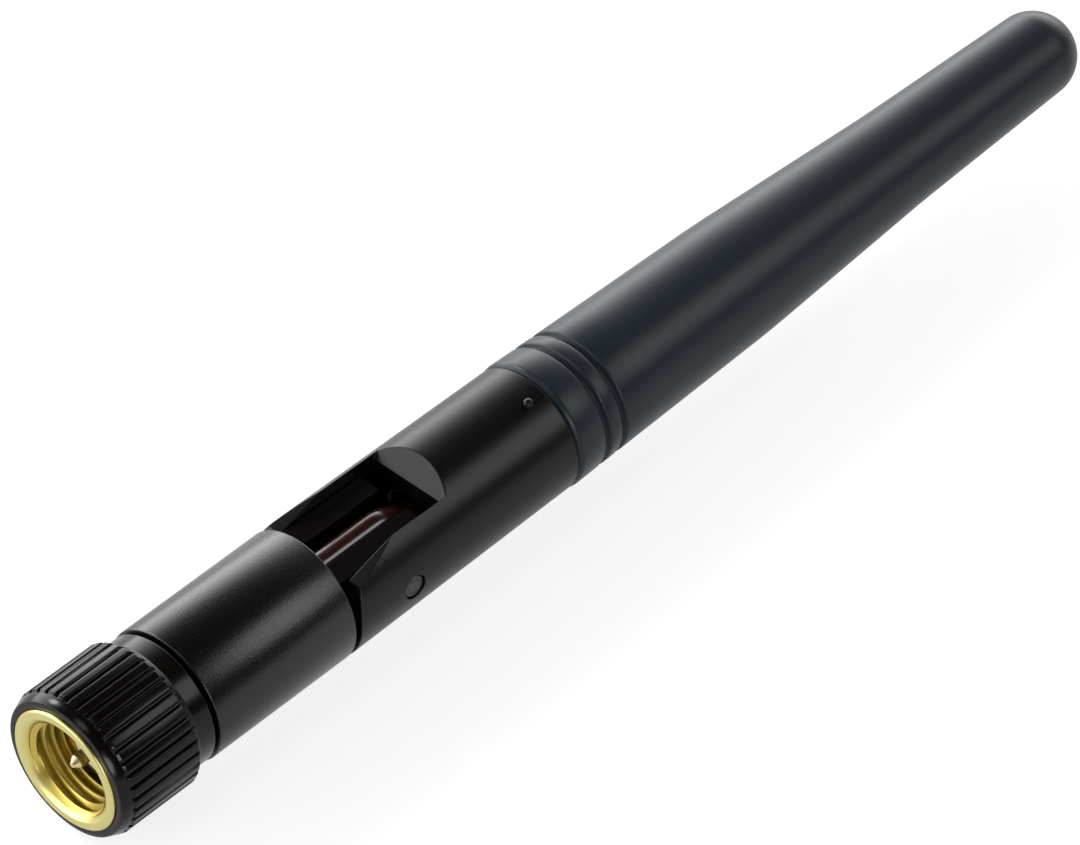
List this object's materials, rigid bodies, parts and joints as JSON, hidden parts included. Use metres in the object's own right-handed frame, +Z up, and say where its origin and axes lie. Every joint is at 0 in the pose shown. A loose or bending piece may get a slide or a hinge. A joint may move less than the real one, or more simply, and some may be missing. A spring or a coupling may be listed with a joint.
{
  "type": "wifi antenna",
  "caption": "Hinged rod antenna with a screw-on coaxial plug, a knurled sleeve, a swivelling base and a tapered rubber-finished radome.",
  "frame": {"origin": "on the antenna's axis, in the plug's mating face", "axes": "+X along the axis from the plug to the tip; +Z up out of the open side of the hinge; +Y completes the right hand"},
  "size_m": [0.0893, 0.01, 0.01],
  "materials": {
    "sleeve_plastic": "glossy black with a faint brown tint",
    "gold_plating": "bright gold plating on turned brass",
    "bronze": "spring bronze",
    "white_insulator": "white fluoropolymer",
    "gold_contact": "gold-plated contact",
    "tinned_metal": "dull tin",
    "base_plastic": "fine spark-textured black",
    "washer_nylon": "natural nylon",
    "knuckle_plastic": "glossy black",
    "cable_jacket": "glossy brown cable jacket",
    "fork_plastic": "smooth semi-gloss black",
    "pin_steel": "blackened steel",
    "radome_rubber": "satin blue-grey black, soft to the touch",
    "brass": "drawn brass tube",
    "shrink_plastic": "black shrink tube"
  },
  "bodies": {
    "connector": {"plug_shell": "gold_plating", "plug_insulator": "white_insulator", "center_contact": "gold_contact", "nut_snap_ring": "bronze", "crimp_ferrule": "tinned_metal"},
    "nut": {"coupling_nut": "gold_plating", "knurled_sleeve": "sleeve_plastic"},
    "base": {"base_sleeve": "base_plastic", "hinge_knuckle": "knuckle_plastic", "swivel_washer": "washer_nylon", "coax_jacket": "cable_jacket", "coax_braid": "tinned_metal", "coax_core": "white_insulator", "coax_conductor": "tinned_metal"},
    "arm": {"hinge_fork": "fork_plastic", "hinge_pin_left": "pin_steel", "hinge_pin_right": "pin_steel", "radome": "radome_rubber", "choke_sleeve": "brass", "feed_solder": "tinned_metal", "feed_shrink_tube": "shrink_plastic"}
  },
  "joints": [
    {"name": "nut_spin", "type": "hinge", "parent": "connector", "child": "nut", "pos_m": [0, 0, 0], "axis": [1, 0, 0], "continuous": true},
    {"name": "base_swivel", "type": "hinge", "parent": "connector", "child": "base", "pos_m": [0.0114, 0, 0], "axis": [1, 0, 0], "range_deg": [-180, 180]},
    {"name": "arm_tilt", "type": "hinge", "parent": "base", "child": "arm", "pos_m": [0.0222, 0, 0], "axis": [0, -1, 0], "range_deg": [0, 90], "deforming": ["coax_jacket", "coax_braid", "coax_core", "coax_conductor"]}
  ]
}
